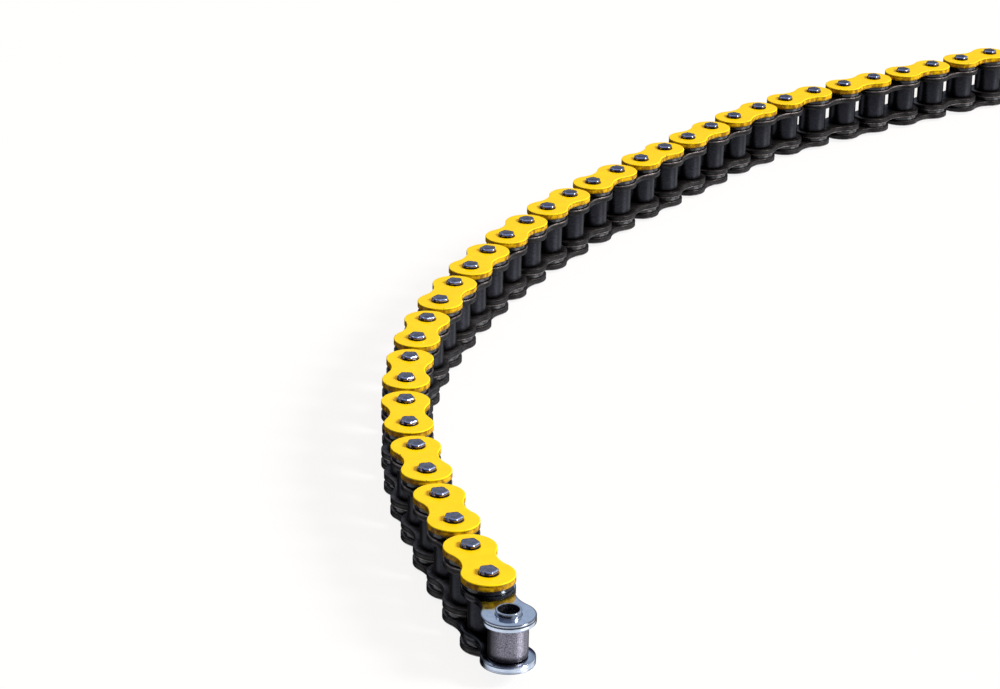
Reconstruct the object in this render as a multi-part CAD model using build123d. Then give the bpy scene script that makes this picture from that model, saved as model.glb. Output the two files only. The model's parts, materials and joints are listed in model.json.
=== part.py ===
from build123d import *

import os
from math import cos, hypot, radians, sin

# Motorcycle drive chain, 530 size, sealed type: a length of 37 links standing on its side.
# Roller links (inner plates, bushes, rollers, seals) alternate with pin links (outer plates, pins).
# The length begins and ends with a roller link, so each end has a free bush for a connecting link.
# Origin: the middle of the first link's free bush. +Z is along the pins, +Y along the first link.
# Millimetres.

# Standard sizes of the chain
PITCH = 15.875
INNER_WIDTH = 9.53
ROLLER_DIAMETER = 10.16
PIN_DIAMETER = 5.24

# Plates
PLATE_THICKNESS = 1.9
OUTER_PLATE_HEIGHT = 13.92
INNER_PLATE_HEIGHT = 13.88
WAIST_HEIGHT = 9.8
PLATE_CHAMFER = 0.25

# Bushes, rollers, pins and seals
BUSH_BORE = 5.34
BUSH_DIAMETER = 6.6
BUSH_STANDS_OUT = 1.2
BUSH_CHAMFER = 0.15
ROLLER_BORE = 6.7
ROLLER_END_PLAY = 0.1
ROLLER_CHAMFER = 0.3
SEAL_GAP = 1.5
SEAL_HEIGHT = 1.44
SEAL_BORE = 7.0
SEAL_DIAMETER = 12.8
PIN_STANDS_OUT = 1.2
PIN_CHAMFER = 0.35

# Gap all round a press fit, so that pressed pieces stay separate solids
PRESS_GAP = 0.01

# Heights above the middle of the chain
INNER_PLATE_Z = INNER_WIDTH / 2
OUTER_PLATE_Z = INNER_PLATE_Z + PLATE_THICKNESS + SEAL_GAP
SEAL_Z = INNER_PLATE_Z + PLATE_THICKNESS + (SEAL_GAP - SEAL_HEIGHT) / 2
BUSH_END_Z = INNER_PLATE_Z + PLATE_THICKNESS + BUSH_STANDS_OUT
PIN_END_Z = OUTER_PLATE_Z + PLATE_THICKNESS + PIN_STANDS_OUT

# The curve the chain lies in: (number of joints, degrees each one turns to the right)
FIRST_HEADING = 90
BENDS = ((5, 1.27), (7, 3.63), (9, 2.31), (5, 0.41), (4, 4.07), (6, 0.38))


def link_places():
    """Where each link's first axis is and which way the link points, as x, y and degrees."""
    turns = [turn for count, turn in BENDS for _ in range(count)]
    x, y, heading = 0.0, 0.0, FIRST_HEADING
    places = [(x, y, heading)]
    for turn in turns:
        x += PITCH * cos(radians(heading))
        y += PITCH * sin(radians(heading))
        heading -= turn
        places.append((x, y, heading))
    return places


def plate_outline(height):
    """Figure-eight outline: a round end about each axis, and a hollow arc along each side."""
    end, waist, half = height / 2, WAIST_HEIGHT / 2, PITCH / 2
    hollow = (half**2 + waist**2 - end**2) / (2 * (end - waist))
    reach = hypot(half, waist + hollow)
    side = half - end * half / reach
    top = end * (waist + hollow) / reach
    right_top, right_bottom = (half + side, top), (half + side, -top)
    left_top, left_bottom = (half - side, top), (half - side, -top)
    arcs = [
        ThreePointArc(right_bottom, (PITCH + end, 0), right_top),
        ThreePointArc(right_top, (half, waist), left_top),
        ThreePointArc(left_top, (-end, 0), left_bottom),
        ThreePointArc(left_bottom, (half, -waist), right_bottom),
    ]
    return make_face(arcs)


def plate(height, hole_diameter, z):
    """One side plate with a hole on each axis, its lower face at z."""
    body = extrude(plate_outline(height), PLATE_THICKNESS)
    rims = body.edges().group_by(Axis.Z)[0] + body.edges().group_by(Axis.Z)[-1]
    body = chamfer(rims, PLATE_CHAMFER)
    hole = Pos(0, 0, PLATE_THICKNESS / 2) * Cylinder(hole_diameter / 2, 2 * PLATE_THICKNESS)
    return Pos(0, 0, z) * (body - [hole, Pos(PITCH, 0, 0) * hole])


def upper_and_lower(height, hole_diameter, z):
    """The same plate above and below the middle of the chain."""
    return [plate(height, hole_diameter, at) for at in (z, -z - PLATE_THICKNESS)]


def turned(diameter, length, end_chamfer, bore=0.0):
    """A round piece centred on its own axis, with both outer end edges chamfered."""
    body = chamfer(Cylinder(diameter / 2, length).edges().filter_by(GeomType.CIRCLE), end_chamfer)
    if bore:
        body -= Cylinder(bore / 2, 2 * length)
    return body


def outer_plates():
    return upper_and_lower(OUTER_PLATE_HEIGHT, PIN_DIAMETER + 2 * PRESS_GAP, OUTER_PLATE_Z)


def inner_plates():
    return upper_and_lower(INNER_PLATE_HEIGHT, BUSH_DIAMETER + 2 * PRESS_GAP, INNER_PLATE_Z)


def pin():
    return turned(PIN_DIAMETER, 2 * PIN_END_Z, PIN_CHAMFER)


def bush():
    return turned(BUSH_DIAMETER, 2 * BUSH_END_Z, BUSH_CHAMFER, BUSH_BORE)


def roller():
    return turned(ROLLER_DIAMETER, INNER_WIDTH - 2 * ROLLER_END_PLAY, ROLLER_CHAMFER, ROLLER_BORE)


def seal_rings():
    """The two sealing rings round one bush, above and below the inner plates."""
    ring = Cylinder(SEAL_DIAMETER / 2, SEAL_HEIGHT) - Cylinder(SEAL_BORE / 2, 2 * SEAL_HEIGHT)
    middle = SEAL_Z + SEAL_HEIGHT / 2
    return [Pos(0, 0, z) * ring for z in (middle, -middle)]


def on_axes(pieces, axes):
    """Copies of the pieces on a link's first axis (0), second axis (1) or both."""
    return [Pos(axis * PITCH, 0, 0) * piece for axis in axes for piece in pieces]


def write_node(name, pieces, place):
    """Moves a link's pieces from its own frame to their place in the chain and writes them."""
    x, y, heading = place
    solids = [Location((x, y, 0), (0, 0, heading)) * piece for piece in pieces]
    shape = solids[0] if len(solids) == 1 else Compound(solids)
    export_step(shape, f"parts/{name}.step")


def write_first_link(place):
    """The open end of the chain: its rollers are pieces of their own, because they turn."""
    write_node("end_inner_plates", inner_plates(), place)
    write_node("end_bushes", on_axes([bush()], (0, 1)), place)
    write_node("end_roller", on_axes([roller()], (0,)), place)
    write_node("second_roller", on_axes([roller()], (1,)), place)
    write_node("end_seals", on_axes(seal_rings(), (1,)), place)


def write_chain():
    places = link_places()
    last = len(places) - 1
    plates, bushes_and_rollers = inner_plates(), on_axes([bush(), roller()], (0, 1))
    write_first_link(places[0])
    for index in range(1, last, 2):
        number = f"{(index + 1) // 2:02d}"
        write_node(f"outer_plates_{number}", outer_plates(), places[index])
        write_node(f"pins_{number}", on_axes([pin()], (0, 1)), places[index])
    for index in range(2, last + 1, 2):
        number = f"{index // 2 + 1:02d}"
        sealed = (0,) if index == last else (0, 1)
        pieces = plates + bushes_and_rollers + on_axes(seal_rings(), sealed)
        write_node(f"roller_link_{number}", pieces, places[index])


os.makedirs("parts", exist_ok=True)
write_chain()
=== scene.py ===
import json
from math import atan2, cos, exp, pi, radians, sin

import bmesh
import bpy
from mathutils import Matrix, Vector


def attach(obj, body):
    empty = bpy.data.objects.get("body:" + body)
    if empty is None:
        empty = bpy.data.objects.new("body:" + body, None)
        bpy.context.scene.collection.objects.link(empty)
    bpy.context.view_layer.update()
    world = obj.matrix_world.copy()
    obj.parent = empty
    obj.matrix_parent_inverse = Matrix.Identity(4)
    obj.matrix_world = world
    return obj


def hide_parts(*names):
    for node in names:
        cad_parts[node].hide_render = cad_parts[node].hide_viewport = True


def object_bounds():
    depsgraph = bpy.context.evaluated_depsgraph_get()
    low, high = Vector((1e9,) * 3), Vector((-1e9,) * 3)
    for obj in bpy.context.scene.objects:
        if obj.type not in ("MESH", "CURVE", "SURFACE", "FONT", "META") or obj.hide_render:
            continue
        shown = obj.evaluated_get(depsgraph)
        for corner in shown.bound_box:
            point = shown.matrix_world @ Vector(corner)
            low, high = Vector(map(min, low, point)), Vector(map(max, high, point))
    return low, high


# A length of sealed motorcycle drive chain standing on its side, curving away to the right.
# Shapes are drawn in millimetres in a link's own frame: x runs from the link's first axis to its
# second, z along the pins. Each link's place comes from the frame.

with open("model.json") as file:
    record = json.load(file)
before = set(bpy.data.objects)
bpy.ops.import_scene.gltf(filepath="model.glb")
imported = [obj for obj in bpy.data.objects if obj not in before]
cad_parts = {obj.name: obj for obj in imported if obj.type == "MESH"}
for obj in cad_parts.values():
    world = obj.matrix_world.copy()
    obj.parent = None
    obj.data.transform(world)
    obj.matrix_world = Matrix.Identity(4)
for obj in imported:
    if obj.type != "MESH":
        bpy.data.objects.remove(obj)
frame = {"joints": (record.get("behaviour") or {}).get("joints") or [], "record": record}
CAD_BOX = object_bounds()
MM = 0.001

# Plates
PLATE_THICKNESS = 1.9
OUTER_PLATE_HEIGHT = 13.92
INNER_PLATE_HEIGHT = 13.88
WAIST_HEIGHT = 9.8
ROUNDED_EDGE = 0.2
BROKEN_EDGE = 0.12
RIM_MARGIN = 0.3
TORN_TOP = 1.35
TORN_HEIGHT = 0.35
TORN_DEPTH = 0.05
TORN_SLOPE = 0.1
HOLE_EDGE = 0.1
HOLE_MARGIN = 0.25
PRESS_GAP = 0.01

# Pins, bushes, rollers and sealing rings
PIN_RADIUS = 2.62
BUSH_RADIUS = 3.3
BUSH_BORE_RADIUS = 2.67
BUSH_ROUNDING = 0.2
BUSH_BORE_ROUNDING = 0.12
ROLLER_RADIUS = 5.08
ROLLER_BORE_RADIUS = 3.35
ROLLER_ROUNDING = 0.45
ROLLER_BORE_ROUNDING = 0.2
# Edge value of the tube ends: on the bright end link's bushes it sets how dark their painted shade line is.
TUBE_END_EDGE_SHADE = 0.3
SEAL_RADIUS = 6.4
SEAL_BORE_RADIUS = 3.5
SEAL_HOLLOWS = {"outside": 0.17, "face": 0.2, "bore": 0.12}

# Heights above the middle of the chain
INNER_PLATE_Z = 4.765
OUTER_PLATE_Z = 8.165
BUSH_END_Z = 7.865
PIN_END_Z = 11.265
ROLLER_END_Z = 4.665
SEAL_GAP_MIDDLE_Z = (INNER_PLATE_Z + PLATE_THICKNESS + OUTER_PLATE_Z) / 2
SEAL_HALF_HEIGHT = 0.72

# The riveted pin ends: flats pressed round the rim, and one punched nick
HEAD_SIDES = 5
HEAD_STEPS = 60
NICK_ANGLE = 124
NICK_WIDTH = 13
NICK_DEPTH = 0.42
NICK_DROP = 0.3
HEAD_HOLLOW = 0.05
# Each row: radius at the corners, distance of the flats, depth below the end, wear and painted rim
# highlight, side (where painted shade and a painted reflection band go), share of the nick
HEAD_ROWS = (
    (0.70, 0.70, 0.03, 0.0, 0.0, 0.0),
    (1.90, 1.66, 0.02, 0.0, 0.0, 0.0),
    (2.26, 1.97, 0.00, 0.3, 0.0, 0.4),
    (2.43, 2.12, 0.07, 1.0, 0.0, 1.0),
    (2.58, 2.27, 0.31, 1.0, 0.1, 1.0),
    (2.60, 2.30, 0.40, 0.0, 0.5, 0.8),
    (2.61, 2.33, 0.62, 0.0, 1.0, 0.6),
    (2.62, 2.45, 0.85, 0.0, 0.5, 0.2),
    (2.62, 3.00, 0.98, 0.0, 0.5, 0.0),
)

# Faces that meet at more than this many degrees keep a sharp edge between them
SHARP_ANGLE = 50

# Points round each kind of circle
PLATE_END_STEPS = 34
PLATE_HOLLOW_STEPS = 14
ROUND_STEPS = 48

# The floor
FLOOR_MIDDLE_RADIUS = 300
FLOOR_RADIUS = 20000
FLOOR_GAP = 0.02
FLOOR_COLOUR = (0.12, 0.12, 0.12)
FLOOR_GLOW = (0.88, 0.88, 0.88)

# The view: the camera's place in metres, angles in degrees, lens and sensor in millimetres
CAMERA_PLACE = (-0.2054, -0.5901, 0.3299)
CAMERA_TURN = -18.893
CAMERA_TILT_DOWN = 22.007
CAMERA_ROLL = 1.0
CAMERA_LENS = 103.33
CAMERA_SENSOR = 36

# The lamps shine at this axis of the chain
LIT_AXIS = 6


# ---------------------------------------------------------------- places in the chain

def chain_axes():
    """Every axis of the chain in order: the first free bush, the bends, the last free bush."""
    mounts = {mount["name"]: mount["pos_m"] for mount in frame["record"]["mounts"]}
    bends = {joint["name"]: joint["pos_m"] for joint in frame["joints"] if "bend_" in joint["name"]}
    places = [mounts["first_end_bore"]]
    places += [bends[name] for name in sorted(bends)]
    places.append(mounts["last_end_bore"])
    return [Vector(place) for place in places]


AXES = chain_axes()
PITCH = (AXES[1] - AXES[0]).length / MM


def link_place(index):
    """The matrix that carries link index from its own frame, in millimetres, to the row frame."""
    along = AXES[index + 1] - AXES[index]
    turn = Matrix.Rotation(atan2(along.y, along.x), 4, "Z")
    return Matrix.Translation(AXES[index]) @ turn @ Matrix.Scale(MM, 4)


# ---------------------------------------------------------------- shapes

class Shape:
    """A mesh being built from rings of points, each joined to the next by a band of faces.

    Two values ride on its points for the materials: edge, 1 on rounded edges where a finish wears and where
    painted highlights and painted shade lines go, and torn, which is 0.5 on a punched wall and on the side
    of a pin's head, and 1 along their rough middle line and inside a bore; it also places painted shade on
    walls, pin sides and bores, and a painted reflection band on pin sides.
    """

    def __init__(self):
        self.mesh = bmesh.new()
        self.edge = self.mesh.verts.layers.float.new("edge")
        self.torn = self.mesh.verts.layers.float.new("torn")

    def ring(self, points, edge=0.0, torn=0.0):
        ring = [self.mesh.verts.new(point) for point in points]
        for vertex in ring:
            vertex[self.edge] = edge
            vertex[self.torn] = torn
        return ring

    def band(self, lower, upper):
        for i in range(len(lower)):
            self.mesh.faces.new((lower[i - 1], lower[i], upper[i], upper[i - 1]))

    def bands(self, rings, closed=False):
        for i in range(0 if closed else 1, len(rings)):
            self.band(rings[i - 1], rings[i])

    def fill(self, *rings):
        """A flat face inside the first ring, with the other rings as holes in it."""
        edges = [self.mesh.edges.get((ring[i - 1], ring[i])) for ring in rings for i in range(len(ring))]
        bmesh.ops.triangle_fill(self.mesh, use_beauty=True, edges=edges)

    def cap(self, ring, middle):
        """A fan of faces from a ring to one point."""
        point = self.mesh.verts.new(middle)
        for i in range(len(ring)):
            self.mesh.faces.new((ring[i - 1], ring[i], point))

    def piece(self, name, place):
        """The finished object, with its points moved to their place in the row frame."""
        bmesh.ops.transform(self.mesh, matrix=place, verts=self.mesh.verts)
        bmesh.ops.recalc_face_normals(self.mesh, faces=self.mesh.faces)
        for face in self.mesh.faces:
            face.smooth = True
        data = bpy.data.meshes.new(name)
        self.mesh.to_mesh(data)
        self.mesh.free()
        data.set_sharp_from_angle(angle=radians(SHARP_ANGLE))
        piece = bpy.data.objects.new(name, data)
        bpy.context.scene.collection.objects.link(piece)
        return piece


def arc(x, y, radius, start, stop, steps):
    """Points along an arc, without its last one."""
    angles = [start + (stop - start) * i / steps for i in range(steps)]
    return [(x + radius * cos(angle), y + radius * sin(angle)) for angle in angles]


def plate_outline(height, inset, z):
    """The figure-eight edge of a plate, moved in by inset: round ends joined by hollow sides."""
    end, waist, half = height / 2, WAIST_HEIGHT / 2, PITCH / 2
    hollow = (half**2 + waist**2 - end**2) / (2 * (end - waist))
    centre = waist + hollow
    meet = atan2(centre, half)
    points = arc(PITCH, 0, end - inset, meet - pi, pi - meet, PLATE_END_STEPS)
    points += arc(half, centre, hollow + inset, -meet, meet - pi, PLATE_HOLLOW_STEPS)
    points += arc(0, 0, end - inset, meet, 2 * pi - meet, PLATE_END_STEPS)
    points += arc(half, -centre, hollow + inset, pi - meet, meet, PLATE_HOLLOW_STEPS)
    return [(x, y, z) for x, y in points]


def circle(x, radius, z):
    return [(px, py, z) for px, py in arc(x, 0, radius, 0, 2 * pi, ROUND_STEPS)]


def rounded(radius, steps):
    """Pairs (in, down) along a quarter round, from the flat face to the side."""
    angles = [pi / 2 * i / steps for i in range(steps + 1)]
    return [(radius * (1 - sin(angle)), radius * (1 - cos(angle))) for angle in angles]


def add_plate(shape, height, hole_radius, z, side):
    """One punched plate: z is its inner face, side is 1 for an upper plate and -1 for a lower one.

    Each row of its rim is how far in and how far up a ring lies, and its edge and torn values.
    """
    top, torn_foot = PLATE_THICKNESS, TORN_TOP - TORN_HEIGHT
    rim = [(ROUNDED_EDGE + RIM_MARGIN, top, 0.0, 0.0)]
    rim += [(inset, top - drop, 1.0, 0.0) for inset, drop in rounded(ROUNDED_EDGE, 4)]
    rim += [(0.0, TORN_TOP + TORN_SLOPE, 0.0, 0.5), (TORN_DEPTH, TORN_TOP, 0.0, 1.0)]
    rim += [(TORN_DEPTH, torn_foot, 0.0, 1.0), (0.0, torn_foot - TORN_SLOPE, 0.0, 0.5)]
    rim += [(0.0, BROKEN_EDGE, 0.0, 0.5), (BROKEN_EDGE, 0.0, 0.5, 0.5)]
    rings = [
        shape.ring(plate_outline(height, inset, side * (z + up)), edge, torn)
        for inset, up, edge, torn in rim
    ]
    shape.bands(rings)
    holes = []
    for x in (0, PITCH):
        wall = [(HOLE_EDGE + HOLE_MARGIN, top), (HOLE_EDGE, top), (0.0, top - HOLE_EDGE)]
        wall += [(0.0, HOLE_EDGE), (HOLE_EDGE, 0.0)]
        hole = [shape.ring(circle(x, hole_radius + out, side * (z + up))) for out, up in wall]
        shape.bands(hole)
        holes.append(hole)
    shape.fill(rings[0], *[hole[0] for hole in holes])
    shape.fill(rings[-1], *[hole[-1] for hole in holes])


def add_tube(shape, x, outside, bore, end_z, outer_round, bore_round):
    """A bush or roller: a plain tube with rounded ends.

    Each row of its profile is a ring's radius and height, and its edge and torn values.
    """
    outer = [(outside - inset, end_z - drop, TUBE_END_EDGE_SHADE, 0.0) for inset, drop in rounded(outer_round, 4)]
    inner = [(bore + inset, end_z - drop, 0.0, 1.0) for inset, drop in rounded(bore_round, 2)]
    half = inner[::-1] + outer
    profile = half + [(radius, -z, edge, torn) for radius, z, edge, torn in reversed(half)]
    rings = [shape.ring(circle(x, radius, z), edge, torn) for radius, z, edge, torn in profile]
    shape.bands(rings, closed=True)


def flat_sided(angle, corner, flat):
    """The radius at one angle of a circle cut by the head's pressed flats."""
    sector = 2 * pi / HEAD_SIDES
    off_middle = (angle + sector / 2) % sector - sector / 2
    return min(corner, flat / cos(off_middle))


def nick(angle):
    """How far the punched nick reaches at this angle, from 0 to 1."""
    off = (angle - radians(NICK_ANGLE) + pi) % (2 * pi) - pi
    return exp(-((off / radians(NICK_WIDTH)) ** 2))


def head_ring(x, side, corner, flat, drop, nicked):
    points = []
    for i in range(HEAD_STEPS):
        angle = 2 * pi * i / HEAD_STEPS
        dent = nicked * nick(angle)
        r = flat_sided(angle, corner, flat) - NICK_DEPTH * dent
        z = PIN_END_Z - drop - NICK_DROP * dent
        points.append((x + r * cos(angle), r * sin(angle), side * z))
    return points


def head_rings(shape, x, side):
    """The riveted end of a pin, from its middle outwards and down to the plain shaft."""
    return [
        shape.ring(head_ring(x, side, corner, flat, drop, nicked), edge, torn)
        for corner, flat, drop, edge, torn, nicked in HEAD_ROWS
    ]


def add_pin(shape, x):
    upper, lower = head_rings(shape, x, 1), head_rings(shape, x, -1)
    shape.bands(upper + lower[::-1])
    shape.cap(upper[0], (x, 0, PIN_END_Z - HEAD_HOLLOW))
    shape.cap(lower[0], (x, 0, HEAD_HOLLOW - PIN_END_Z))


def seal_profile():
    """The cross-section of a sealing ring: four soft lobes with shallow hollows between them."""
    lobe = SEAL_HALF_HEIGHT / 2
    outer, inner = SEAL_RADIUS - lobe, SEAL_BORE_RADIUS + lobe
    middle = (outer + inner) / 2
    points = [(SEAL_RADIUS - SEAL_HOLLOWS["outside"], 0.0)]
    points += arc(outer, lobe, lobe, radians(-12), radians(130), 5)
    points += [(middle, SEAL_HALF_HEIGHT - SEAL_HOLLOWS["face"])]
    points += arc(inner, lobe, lobe, radians(70), radians(190), 3)
    points += [(SEAL_BORE_RADIUS + SEAL_HOLLOWS["bore"], 0.0)]
    points += arc(inner, -lobe, lobe, radians(190), radians(310), 3)
    points += [(middle, SEAL_HOLLOWS["face"] - SEAL_HALF_HEIGHT)]
    points += arc(outer, -lobe, lobe, radians(250), radians(372), 5)
    return points


def add_seal(shape, x, z):
    rings = [shape.ring(circle(x, radius, z + up)) for radius, up in seal_profile()]
    shape.bands(rings, closed=True)


# ---------------------------------------------------------------- materials

class Nodes:
    """The shader nodes of a material or of the world, and the patterns and colours made with them."""

    def __init__(self, owner, place):
        owner.use_nodes = True
        self.nodes = owner.node_tree.nodes
        self.links = owner.node_tree.links
        self.place = self.nodes.new("ShaderNodeTexCoord").outputs[place]

    def feed(self, socket, value):
        """Gives a socket its value: another node's output, a colour or a number."""
        if hasattr(value, "default_value"):
            self.links.new(value, socket)
        elif isinstance(value, tuple):
            socket.default_value = (*value, 1)
        else:
            socket.default_value = value

    def remap(self, value, low, high, to_low=0.0, to_high=1.0):
        """A smooth step from to_low to to_high as a value goes from low to high."""
        node = self.nodes.new("ShaderNodeMapRange")
        node.interpolation_type = "SMOOTHSTEP"
        self.feed(node.inputs["Value"], value)
        limits = {"From Min": low, "From Max": high, "To Min": to_low, "To Max": to_high}
        for socket, number in limits.items():
            node.inputs[socket].default_value = number
        return node.outputs["Result"]

    def along(self, direction, low, high):
        """0 to 1 as the place, or in the world the way looked, goes from low to high along a direction."""
        dot = self.nodes.new("ShaderNodeVectorMath")
        dot.operation = "DOT_PRODUCT"
        dot.inputs[1].default_value = direction
        self.links.new(self.place, dot.inputs[0])
        return self.remap(dot.outputs["Value"], low, high)

    def mix(self, share, first, second):
        """A colour between two colours."""
        node = self.nodes.new("ShaderNodeMix")
        node.data_type = "RGBA"
        self.feed(node.inputs["Factor"], share)
        self.feed(node.inputs[6], first)
        self.feed(node.inputs[7], second)
        return node.outputs[2]


class Finish(Nodes):
    """A procedural material with one Principled shader, and the patterns that feed it."""

    def __init__(self, name, settings):
        self.material = bpy.data.materials.new(name)
        super().__init__(self.material, "Object")
        self.shader = self.nodes["Principled BSDF"]
        for socket, number in settings.items():
            self.shader.inputs[socket].default_value = number

    def noise(self, size, detail=2.0, roughness=0.5, stretch=(1, 1, 1)):
        """Soft random patches about size millimetres across, from 0 to 1."""
        mapping = self.nodes.new("ShaderNodeMapping")
        mapping.inputs["Scale"].default_value = stretch
        self.links.new(self.place, mapping.inputs["Vector"])
        node = self.nodes.new("ShaderNodeTexNoise")
        node.inputs["Scale"].default_value = 1 / (size * MM)
        node.inputs["Detail"].default_value = detail
        node.inputs["Roughness"].default_value = roughness
        self.links.new(mapping.outputs["Vector"], node.inputs["Vector"])
        return node.outputs["Fac"]

    def value(self, name):
        """One of the values that ride on the mesh's points."""
        node = self.nodes.new("ShaderNodeAttribute")
        node.attribute_name = name
        return node.outputs["Fac"]

    def toward(self, direction, low, high):
        """0 to 1 between two distances, in millimetres, along a direction from the chain's origin."""
        return self.along(direction, low * MM, high * MM)

    def maths(self, operation, first, second):
        node = self.nodes.new("ShaderNodeMath")
        node.operation = operation
        self.feed(node.inputs[0], first)
        self.feed(node.inputs[1], second)
        return node.outputs["Value"]

    def colour(self, value):
        self.feed(self.shader.inputs["Base Color"], value)

    def rough(self, value):
        self.feed(self.shader.inputs["Roughness"], value)

    def bump(self, *heights):
        """Surface relief: pairs of a pattern and its height in millimetres."""
        normal = None
        for pattern, height in heights:
            node = self.nodes.new("ShaderNodeBump")
            node.inputs["Distance"].default_value = height * MM
            self.feed(node.inputs["Height"], pattern)
            if normal is not None:
                self.links.new(normal, node.inputs["Normal"])
            normal = node.outputs["Normal"]
        self.links.new(normal, self.shader.inputs["Normal"])


def yellow_paint():
    """Gold-yellow plating with a fine grain, browner on the punched walls as stains and painted shade,
    chipped along its rim, with a painted highlight on the rim.
    """
    gold, deep_gold = (0.97, 0.73, 0.003), (0.95, 0.68, 0.002)
    amber, rim_highlight_yellow = (0.82, 0.54, 0.002), (1.0, 0.84, 0.01)
    brown, ochre, bare = (0.30, 0.14, 0.003), (0.86, 0.52, 0.004), (0.03, 0.02, 0.012)
    finish = Finish("yellow_paint", {"Specular IOR Level": 0.08})
    grain, patches = finish.noise(0.3, 3), finish.noise(4.0, 2)
    edge, torn = finish.value("edge"), finish.value("torn")
    paint = finish.mix(finish.remap(patches, 0.3, 0.7), gold, deep_gold)
    paint = finish.mix(finish.remap(grain, 0.35, 0.75, 0.0, 0.25), paint, amber)
    # Painted highlight: rounded edges are mixed towards a brighter lemon yellow.
    paint = finish.mix(finish.remap(edge, 0.2, 1.0, 0.0, 0.6), paint, rim_highlight_yellow)
    # The punched walls are painted browner than the top: patchy stains, and painted shade for sides that
    # get less light.
    stains = finish.remap(finish.noise(1.6, 3, stretch=(1, 1, 0.6)), 0.35, 0.65)
    wall = finish.mix(stains, brown, ochre)
    paint = finish.mix(finish.remap(torn, 0.0, 0.5), paint, wall)
    chip = finish.maths("MULTIPLY", finish.remap(finish.noise(0.9, 1), 0.69, 0.72), edge)
    finish.colour(finish.mix(chip, paint, bare))
    rough = finish.remap(grain, 0.2, 0.8, 0.16, 0.28)
    finish.rough(finish.maths("ADD", rough, finish.maths("MULTIPLY", chip, 0.3)))
    finish.bump((grain, 0.006), (finish.maths("SUBTRACT", 1.0, chip), 0.03))
    return finish.material


def dark_steel():
    """Blackened plate steel: a dusty, even black, worn to grey along its edges, where a pinkish-grey
    highlight line is also painted.
    """
    soot, dusty = (0.013, 0.012, 0.012), (0.026, 0.024, 0.024)
    speck, worn_rim_highlight = (0.045, 0.045, 0.055), (0.40, 0.33, 0.31)
    finish = Finish("dark_steel", {"Metallic": 1.0})
    grain, smears = finish.noise(0.35, 3), finish.noise(2.5, 3, stretch=(1, 1, 2.5))
    edge = finish.value("edge")
    black = finish.mix(finish.remap(smears, 0.35, 0.7), soot, dusty)
    black = finish.mix(finish.remap(grain, 0.6, 0.8, 0.0, 0.35), black, speck)
    # Edges are mixed towards pinkish grey: partly wear, partly a painted highlight line.
    wear_and_rim_highlight = finish.maths("MULTIPLY", finish.remap(finish.noise(1.4, 3), 0.35, 0.65, 0.3, 1.0), edge)
    finish.colour(finish.mix(finish.maths("MULTIPLY", wear_and_rim_highlight, 0.5), black, worn_rim_highlight))
    finish.rough(finish.remap(grain, 0.25, 0.75, 0.36, 0.52))
    finish.bump((grain, 0.01), (finish.value("torn"), 0.01))
    return finish.material


def pin_steel():
    """Blued, hardened pin steel: a mottled hammered end, a painted highlight on its rim, and sides painted
    black as shade round a brown band of painted reflection.
    """
    dark_blue, pale_blue, pit = (0.12, 0.12, 0.155), (0.23, 0.23, 0.29), (0.06, 0.06, 0.08)
    rim_highlight_blue, black, reflection_band_brown = (0.42, 0.48, 0.74), (0.015, 0.015, 0.018), (0.42, 0.27, 0.18)
    finish = Finish("pin_steel", {"Metallic": 1.0})
    grain, mottle = finish.noise(0.22, 2), finish.noise(0.8, 3)
    edge, side = finish.value("edge"), finish.value("torn")
    blue = finish.mix(finish.remap(mottle, 0.32, 0.68), dark_blue, pale_blue)
    blue = finish.mix(finish.remap(grain, 0.4, 0.8, 0.0, 0.4), blue, pit)
    # Painted highlight: the rim is mixed towards pale blue.
    blue = finish.mix(finish.maths("MULTIPLY", edge, 0.7), blue, rim_highlight_blue)
    # The sides are painted black as shade, also at the foot, and the middle of each side is painted brown
    # where the yellow plate's reflection shows.
    steel = finish.mix(finish.remap(side, 0.1, 0.45), blue, black)
    finish.colour(finish.mix(finish.remap(side, 0.6, 1.0), steel, reflection_band_brown))
    finish.rough(finish.remap(mottle, 0.3, 0.7, 0.16, 0.3))
    dents = finish.maths("MULTIPLY", mottle, finish.maths("SUBTRACT", 1.0, edge))
    finish.bump((dents, 0.025), (grain, 0.004))
    return finish.material


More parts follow.
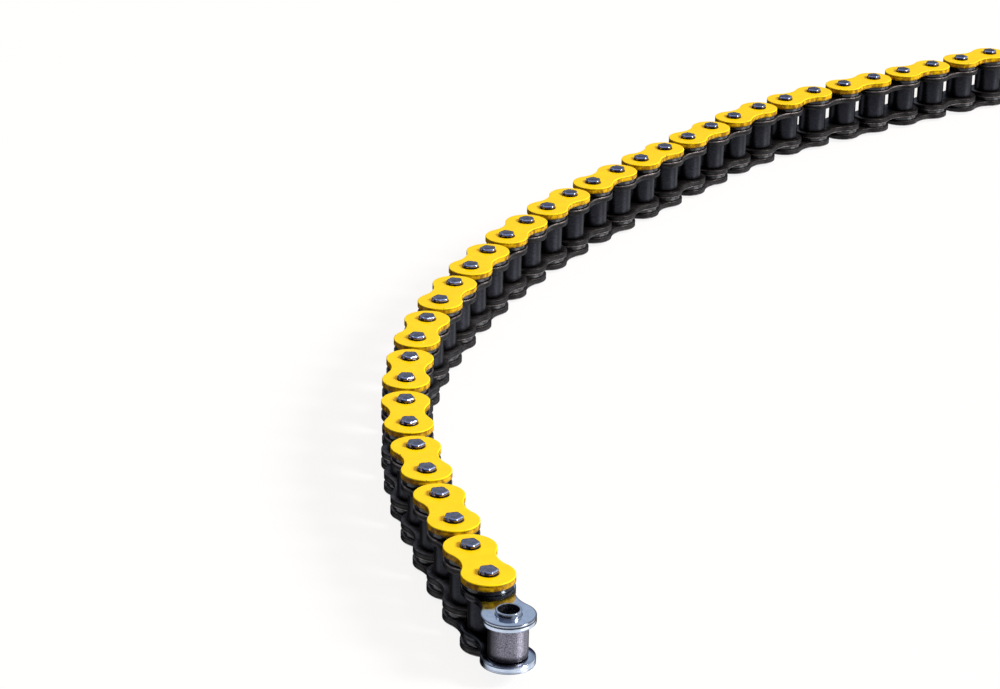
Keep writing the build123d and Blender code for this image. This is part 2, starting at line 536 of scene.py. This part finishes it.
def bright_steel():
    """Polished steel, pale blue with faint specks; painted shade on its edges, in its bores, over the inner
    half of its lower plate and over its far end.
    """
    blue, pale_blue, speck = (0.42, 0.48, 0.57), (0.53, 0.58, 0.67), (0.26, 0.27, 0.34)
    edge_shade_colour, rough, link_shade_black = (0.10, 0.10, 0.12), (0.02, 0.02, 0.025), (0.012, 0.012, 0.014)
    finish = Finish("bright_steel", {"Metallic": 1.0})
    grain, haze = finish.noise(0.25, 3), finish.noise(3.0, 3)
    torn, edge = finish.remap(finish.value("torn"), 0.6, 1.0), finish.value("edge")
    steel = finish.mix(finish.remap(haze, 0.3, 0.7), blue, pale_blue)
    steel = finish.mix(finish.remap(grain, 0.5, 0.75, 0.0, 0.5), steel, speck)
    # A painted shade line along the rounded edges.
    steel = finish.mix(finish.maths("MULTIPLY", edge, 0.8), steel, edge_shade_colour)
    low = finish.toward((0, 0, -1), 0, 4)
    # Dark along the rough torn line of the plate sides, and inside the bores, where the dark is painted
    # shade.
    torn_line_and_bore_shade = finish.maths("MULTIPLY", torn, finish.remap(grain, 0.3, 0.5, 0.6, 1.0))
    torn_line_and_bore_shade = finish.maths("MULTIPLY", torn_line_and_bore_shade, finish.maths("SUBTRACT", 1.0, low))
    steel = finish.mix(torn_line_and_bore_shade, steel, rough)
    # Painted shade: the lower plate darkens towards the second roller, and the far end of the link is
    # painted near-black.
    inward, far = finish.toward((-0.7, 0.7, 0), 1.0, 4.5), finish.toward((-0.8, 0.6, 0), 6.0, 9.5)
    painted_shade_mask = finish.maths("MAXIMUM", finish.maths("MULTIPLY", low, inward), far)
    finish.colour(finish.mix(painted_shade_mask, steel, link_shade_black))
    satin = finish.remap(haze, 0.3, 0.7, 0.08, 0.16)
    finish.rough(finish.maths("ADD", satin, finish.maths("MULTIPLY", torn, 0.3)))
    finish.bump((haze, 0.02), (grain, 0.003))
    return finish.material


def roller_steel():
    """Ground roller steel: sandy, slightly purple grey, painted dark as shade on its left side and its
    foot.
    """
    dark_grain, pale_grain = (0.045, 0.040, 0.055), (0.28, 0.265, 0.305)
    bore, ring, roller_shade_black = (0.08, 0.08, 0.09), (0.36, 0.36, 0.40), (0.02, 0.018, 0.02)
    finish = Finish("roller_steel", {"Metallic": 1.0})
    grain, rings = finish.noise(0.28, 3, 0.75), finish.noise(1.2, 2, stretch=(1, 1, 5))
    steel = finish.mix(finish.remap(grain, 0.32, 0.68), dark_grain, pale_grain)
    steel = finish.mix(finish.remap(finish.value("torn"), 0.4, 1.0, 0.0, 0.8), steel, bore)
    steel = finish.mix(finish.remap(rings, 0.55, 0.8, 0.0, 0.3), steel, ring)
    # Painted shade: the roller's left side, as the camera sees it, and its foot are mixed towards
    # near-black.
    side, foot = finish.toward((-0.946, 0.324, 0), 1.6, 4.4), finish.toward((-0.15, 0, -1), 2.6, 4.3)
    roller_shade_mask = finish.maths("MAXIMUM", side, foot)
    finish.colour(finish.mix(finish.maths("MULTIPLY", roller_shade_mask, 0.85), steel, roller_shade_black))
    finish.rough(finish.remap(grain, 0.2, 0.8, 0.26, 0.42))
    finish.bump((grain, 0.012), (rings, 0.006))
    return finish.material


def dark_roller_steel():
    """Oiled, blackened bushes and rollers inside the chain."""
    oiled, dry, ring = (0.009, 0.009, 0.011), (0.022, 0.022, 0.026), (0.045, 0.045, 0.055)
    finish = Finish("dark_roller_steel", {"Metallic": 1.0})
    grain, rings = finish.noise(0.3, 3), finish.noise(1.5, 2, stretch=(1, 1, 5))
    black = finish.mix(finish.remap(grain, 0.3, 0.7), oiled, dry)
    finish.colour(finish.mix(finish.remap(rings, 0.5, 0.8, 0.0, 0.4), black, ring))
    finish.rough(0.34)
    finish.bump((grain, 0.008), (rings, 0.006))
    return finish.material


def seal_rubber():
    """Glossy black rubber, greasy and wet."""
    wet, dusty = (0.006, 0.006, 0.007), (0.02, 0.02, 0.022)
    finish = Finish("seal_rubber", {"Roughness": 0.15, "Specular IOR Level": 0.35})
    patches, grain = finish.noise(1.6, 2), finish.noise(0.3, 2)
    finish.colour(finish.mix(finish.remap(patches, 0.35, 0.7), wet, dusty))
    finish.bump((patches, 0.02), (grain, 0.006))
    return finish.material


# ---------------------------------------------------------------- pieces

def finish_piece(shape, name, place, body, node, material):
    """Makes a shape into a piece that rides on a body and stands for a CAD node."""
    piece = shape.piece(name, place)
    piece.data.materials.append(material)
    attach(piece, body)
    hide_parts(node)


def outer_plate(side):
    shape = Shape()
    add_plate(shape, OUTER_PLATE_HEIGHT, PIN_RADIUS + PRESS_GAP, OUTER_PLATE_Z, side)
    return shape


def inner_plate_pair():
    shape = Shape()
    for side in (1, -1):
        add_plate(shape, INNER_PLATE_HEIGHT, BUSH_RADIUS + PRESS_GAP, INNER_PLATE_Z, side)
    return shape


def pin_pair():
    shape = Shape()
    for x in (0, PITCH):
        add_pin(shape, x)
    return shape


def bush_pair():
    shape = Shape()
    for x in (0, PITCH):
        add_tube(shape, x, BUSH_RADIUS, BUSH_BORE_RADIUS, BUSH_END_Z, BUSH_ROUNDING, BUSH_BORE_ROUNDING)
    return shape


def rollers(*places):
    shape = Shape()
    rounding, bore_rounding = ROLLER_ROUNDING, ROLLER_BORE_ROUNDING
    for x in places:
        add_tube(shape, x, ROLLER_RADIUS, ROLLER_BORE_RADIUS, ROLLER_END_Z, rounding, bore_rounding)
    return shape


def seal_rings(*places):
    shape = Shape()
    for x in places:
        for z in (SEAL_GAP_MIDDLE_Z, -SEAL_GAP_MIDDLE_Z):
            add_seal(shape, x, z)
    return shape


def add_pin_link(number, place, finishes):
    """Upper plate painted yellow, lower plate blackened, and the two pins."""
    body, node = f"pin_link_{number}", f"outer_plates_{number}"
    for row, side, slot in (("upper", 1, "yellow_paint"), ("lower", -1, "dark_steel")):
        name = f"outer_plate_{row}_{number}"
        finish_piece(outer_plate(side), name, place, body, node, finishes[slot])
    node = f"pins_{number}"
    finish_piece(pin_pair(), f"pin_pair_{number}", place, body, node, finishes["pin_steel"])


def add_roller_link(number, place, sealed, finishes):
    """Blackened inner plates with their bushes, rollers and sealing rings."""
    body = f"roller_link_{number}"
    dark, roller = finishes["dark_steel"], finishes["dark_roller_steel"]
    finish_piece(inner_plate_pair(), f"inner_plates_{number}", place, body, body, dark)
    finish_piece(bush_pair(), f"bushes_{number}", place, body, body, roller)
    finish_piece(rollers(0, PITCH), f"rollers_{number}", place, body, body, roller)
    rings = seal_rings(*sealed)
    finish_piece(rings, f"seal_rings_{number}", place, body, body, finishes["seal_rubber"])


def add_first_link(place, finishes):
    """The open end: a bright link whose two rollers turn on their own; its second roller takes the black
    roller finish as painted shade.
    """
    body, bright, dark = "roller_link_01", finishes["bright_steel"], finishes["dark_roller_steel"]
    plates, bushes = inner_plate_pair(), bush_pair()
    finish_piece(plates, "inner_plates_01", place, body, "end_inner_plates", bright)
    finish_piece(bushes, "bushes_01", place, body, "end_bushes", bright)
    rings = seal_rings(PITCH)
    finish_piece(rings, "seal_rings_01", place, body, "end_seals", finishes["seal_rubber"])
    body, grey = "end_roller", finishes["roller_steel"]
    finish_piece(rollers(0), "roller_01_first", place, body, body, grey)
    # The second roller is the same bright steel as the first; the black finish on it is painted shade.
    body = "second_roller"
    finish_piece(rollers(PITCH), "roller_01_second_painted_shade", place, body, body, dark)


def build_chain():
    makers = (
        yellow_paint, dark_steel, pin_steel, bright_steel, roller_steel, dark_roller_steel, seal_rubber
    )
    finishes = {make.__name__: make() for make in makers}
    last = len(AXES) - 2
    add_first_link(link_place(0), finishes)
    for index in range(1, last, 2):
        add_pin_link(f"{(index + 1) // 2:02d}", link_place(index), finishes)
    for index in range(2, last + 1, 2):
        sealed = (0,) if index == last else (0, PITCH)
        add_roller_link(f"{index // 2 + 1:02d}", link_place(index), sealed, finishes)


# ---------------------------------------------------------------- light and camera

def horizontal(degrees):
    """A level direction, in degrees from the camera's right towards its back."""
    turn = radians(degrees + CAMERA_TURN)
    return Vector((cos(turn), sin(turn), 0))


def lean(degrees_round, degrees_up):
    """A direction given by its turn from the camera's right and its height above level."""
    up = radians(degrees_up)
    return horizontal(degrees_round) * cos(up) + Vector((0, 0, sin(up)))


def add_area_light(name, toward, distance, size, power, colour):
    """A square soft light that shines at the near part of the chain from one direction."""
    lamp = bpy.data.lights.new(name, "AREA")
    lamp.size = size
    lamp.energy = power
    lamp.color = colour
    light = bpy.data.objects.new(name, lamp)
    light.location = AXES[LIT_AXIS] + toward * distance
    light.rotation_mode = "QUATERNION"
    light.rotation_quaternion = toward.to_track_quat("Z", "Y")
    bpy.context.scene.collection.objects.link(light)


def add_lights():
    add_area_light("key", lean(-14, 36), 5.0, 1.25, 260, (1.0, 0.985, 0.96))
    add_area_light("left_rim", lean(165, 35), 2.0, 0.5, 1.5, (1.0, 0.86, 0.82))


def add_floor():
    """A plain pale floor under the chain, which the camera sees with faint shadows.

    Only the camera sees it: reflections and soft light come from the surroundings' glossy table.
    """
    material = bpy.data.materials.new("floor")
    material.use_nodes = True
    nodes, links = material.node_tree.nodes, material.node_tree.links
    pale = nodes["Principled BSDF"]
    pale.inputs["Base Color"].default_value = (*FLOOR_COLOUR, 1)
    pale.inputs["Specular IOR Level"].default_value = 0.0
    pale.inputs["Emission Color"].default_value = (*FLOOR_GLOW, 1)
    pale.inputs["Emission Strength"].default_value = 1.0
    mix = nodes.new("ShaderNodeMixShader")
    links.new(nodes.new("ShaderNodeLightPath").outputs["Is Camera Ray"], mix.inputs[0])
    links.new(nodes.new("ShaderNodeBsdfTransparent").outputs[0], mix.inputs[1])
    links.new(pale.outputs[0], mix.inputs[2])
    links.new(mix.outputs[0], nodes["Material Output"].inputs["Surface"])
    shape = Shape()
    rings = [shape.ring(circle(0, radius, 0)) for radius in (FLOOR_MIDDLE_RADIUS, FLOOR_RADIUS)]
    shape.bands(rings)
    shape.cap(rings[0], (0, 0, 0))
    middle = AXES[len(AXES) // 2]
    foot = Vector((middle.x, middle.y, CAD_BOX[0][2] - FLOOR_GAP * MM))
    floor = shape.piece("floor", Matrix.Translation(foot) @ Matrix.Scale(MM, 4))
    floor.data.materials.append(material)


def add_world():
    """White behind the object; its light is a pale blue back, a white right and a glossy white table.

    The table mirrors the key light as a bright spot and is dark at the far left. The soft light that
    rough paint gathers is apart from these reflections: it is warm, and comes from the right and above.
    """
    up, down, back = (0, 0, 1), (0, 0, -1), horizontal(80)
    white, dark, dim = (1.0, 1.0, 1.0), (0.02, 0.02, 0.022), (0.42, 0.47, 0.64)
    night_blue, pale_blue = (0.03, 0.035, 0.09), (0.66, 0.76, 0.92)
    glossy, bright_spot = (1.15, 1.19, 1.26), (4.5, 4.6, 4.8)
    low_glow, left_glow = (0.05, 0.045, 0.04), (0.05, 0.04, 0.035)
    right_glow, high_glow = (1.2, 0.92, 0.72), (0.95, 0.66, 0.42)
    studio = bpy.data.worlds.new("studio")
    bpy.context.scene.world = studio
    world = Nodes(studio, "Generated")
    rays = world.nodes.new("ShaderNodeLightPath").outputs
    sky = world.mix(world.along(up, 0.2, 0.5), night_blue, pale_blue)
    front = world.mix(world.along(up, 0.45, 0.7), dark, dim)
    sky = world.mix(world.along(back, -0.3, 0.3), front, sky)
    sky = world.mix(world.along(horizontal(-8), 0.35, 0.85), sky, white)
    table = world.mix(world.along(horizontal(-75), -0.62, -0.4), dark, glossy)
    table = world.mix(world.along(lean(-18, -26), 0.94, 0.99), table, bright_spot)
    around = world.mix(world.along(down, 0.0, 0.12), sky, table)
    soft = world.mix(world.along(horizontal(10), 0.2, 0.9), left_glow, right_glow)
    soft = world.mix(world.along(up, 0.55, 0.9), soft, high_glow)
    soft = world.mix(world.along(up, -0.1, 0.3), low_glow, soft)
    around = world.mix(rays["Is Diffuse Ray"], around, soft)
    seen = world.mix(rays["Is Camera Ray"], around, white)
    world.feed(world.nodes["Background"].inputs["Color"], seen)


def add_camera():
    data = bpy.data.cameras.new("camera")
    data.sensor_width = CAMERA_SENSOR
    data.lens = CAMERA_LENS
    camera = bpy.data.objects.new("camera", data)
    turn = Matrix.Rotation(radians(CAMERA_TURN), 4, "Z")
    tilt = Matrix.Rotation(radians(90 - CAMERA_TILT_DOWN), 4, "X")
    roll = Matrix.Rotation(radians(CAMERA_ROLL), 4, "Z")
    camera.matrix_world = Matrix.Translation(CAMERA_PLACE) @ turn @ tilt @ roll
    bpy.context.scene.collection.objects.link(camera)
    bpy.context.scene.camera = camera


build_chain()
add_floor()
add_lights()
add_world()
add_camera()
bpy.context.scene.view_settings.view_transform = "Standard"
